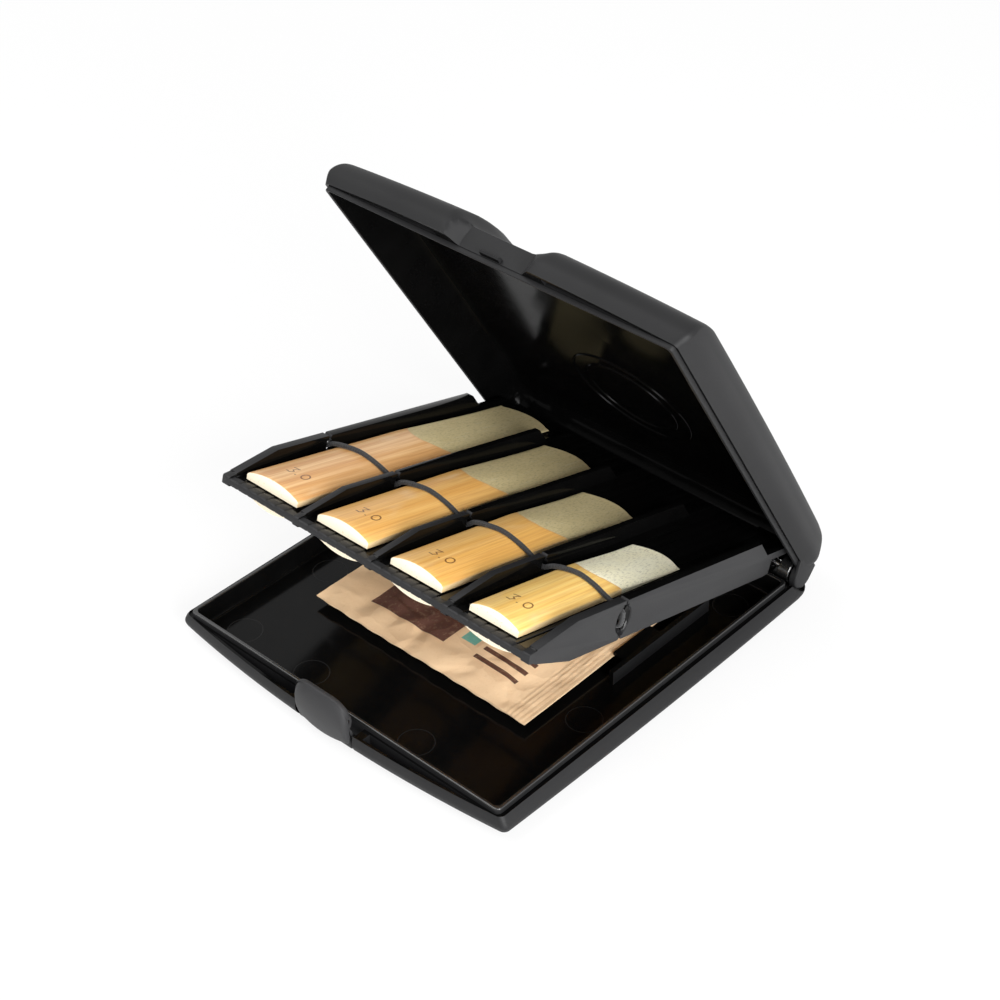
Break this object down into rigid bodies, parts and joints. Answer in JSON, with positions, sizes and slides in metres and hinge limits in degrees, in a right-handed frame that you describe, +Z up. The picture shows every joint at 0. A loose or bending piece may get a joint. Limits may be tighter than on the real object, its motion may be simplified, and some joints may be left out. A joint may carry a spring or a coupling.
{
  "type": "reed case",
  "caption": "Open hinged plastic case with a two-sided slotted tray holding woodwind reeds under an elastic band, front latch and humidity sachet.",
  "frame": {"origin": "on the flat underside of the base, under the middle of its cavity", "axes": "+Z up, +X to the right of the case seen from its front, front with the latch at -Y, hinge at +Y"},
  "size_m": [0.0966, 0.1146, 0.0971],
  "materials": {
    "shell_plastic": "fine matte texture outside, high gloss inside",
    "latch_plastic": "fine matte texture",
    "tray_plastic": "satin with moulded ribs",
    "steel": "drawn wire",
    "elastic": "round woven elastic cord",
    "reed_cane": "natural cane, glossy bark and dull cut vamp",
    "kraft_paper": "uncoated kraft with printed blocks"
  },
  "bodies": {
    "base": {"base_shell": "shell_plastic", "hinge_pin_left": "steel", "hinge_pin_right": "steel", "latch_pin": "steel"},
    "lid": {"lid_shell": "shell_plastic"},
    "tray_body": {"tray": "tray_plastic", "reed_band": "elastic"},
    "latch_body": {"latch": "latch_plastic"},
    "sachet": {"humidity_sachet": "kraft_paper"},
    "reed_top_1_body": {"reed_top_1": "reed_cane"},
    "reed_top_2_body": {"reed_top_2": "reed_cane"},
    "reed_top_3_body": {"reed_top_3": "reed_cane"},
    "reed_top_4_body": {"reed_top_4": "reed_cane"},
    "reed_bottom_1_body": {"reed_bottom_1": "reed_cane"},
    "reed_bottom_2_body": {"reed_bottom_2": "reed_cane"},
    "reed_bottom_3_body": {"reed_bottom_3": "reed_cane"},
    "reed_bottom_4_body": {"reed_bottom_4": "reed_cane"}
  },
  "joints": [
    {"name": "lid_hinge", "type": "hinge", "parent": "base", "child": "lid", "pos_m": [0, 0.05144, 0.00748], "axis": [-1, 0, 0], "range_deg": [-57.9, 32.1]},
    {"name": "tray_hinge", "type": "hinge", "parent": "base", "child": "tray_body", "pos_m": [0, 0.05144, 0.00748], "axis": [-1, 0, 0], "range_deg": [-15.41, 8.55]},
    {"name": "latch_hinge", "type": "hinge", "parent": "base", "child": "latch_body", "pos_m": [0, -0.04975, 0.0031], "axis": [1, 0, 0], "range_deg": [-8, 12]},
    {"name": "sachet_slide", "type": "slide", "parent": "base", "child": "sachet", "axis": [-1, 0, 0], "range_m": [0, 0.011]},
    {"name": "reed_top_1_slide", "type": "slide", "parent": "tray_body", "child": "reed_top_1_body", "axis": [0, -0.9641, 0.2656], "range_m": [0, 0.0882]},
    {"name": "reed_top_2_slide", "type": "slide", "parent": "tray_body", "child": "reed_top_2_body", "axis": [0, -0.9641, 0.2656], "range_m": [0, 0.0806]},
    {"name": "reed_top_3_slide", "type": "slide", "parent": "tray_body", "child": "reed_top_3_body", "axis": [0, -0.9641, 0.2656], "range_m": [0, 0.0692]},
    {"name": "reed_top_4_slide", "type": "slide", "parent": "tray_body", "child": "reed_top_4_body", "axis": [0, -0.9641, 0.2656], "range_m": [0, 0.059]},
    {"name": "reed_bottom_1_slide", "type": "slide", "parent": "tray_body", "child": "reed_bottom_1_body", "axis": [0, -0.9641, 0.2656], "range_m": [0, 0.059]},
    {"name": "reed_bottom_2_slide", "type": "slide", "parent": "tray_body", "child": "reed_bottom_2_body", "axis": [0, -0.9641, 0.2656], "range_m": [0, 0.0692]},
    {"name": "reed_bottom_3_slide", "type": "slide", "parent": "tray_body", "child": "reed_bottom_3_body", "axis": [0, -0.9641, 0.2656], "range_m": [0, 0.0806]},
    {"name": "reed_bottom_4_slide", "type": "slide", "parent": "tray_body", "child": "reed_bottom_4_body", "axis": [0, -0.9641, 0.2656], "range_m": [0, 0.0882]}
  ],
  "couplings": [
    {"joint": "tray_hinge", "follows": "lid_hinge", "ratio": 0.26598}
  ]
}
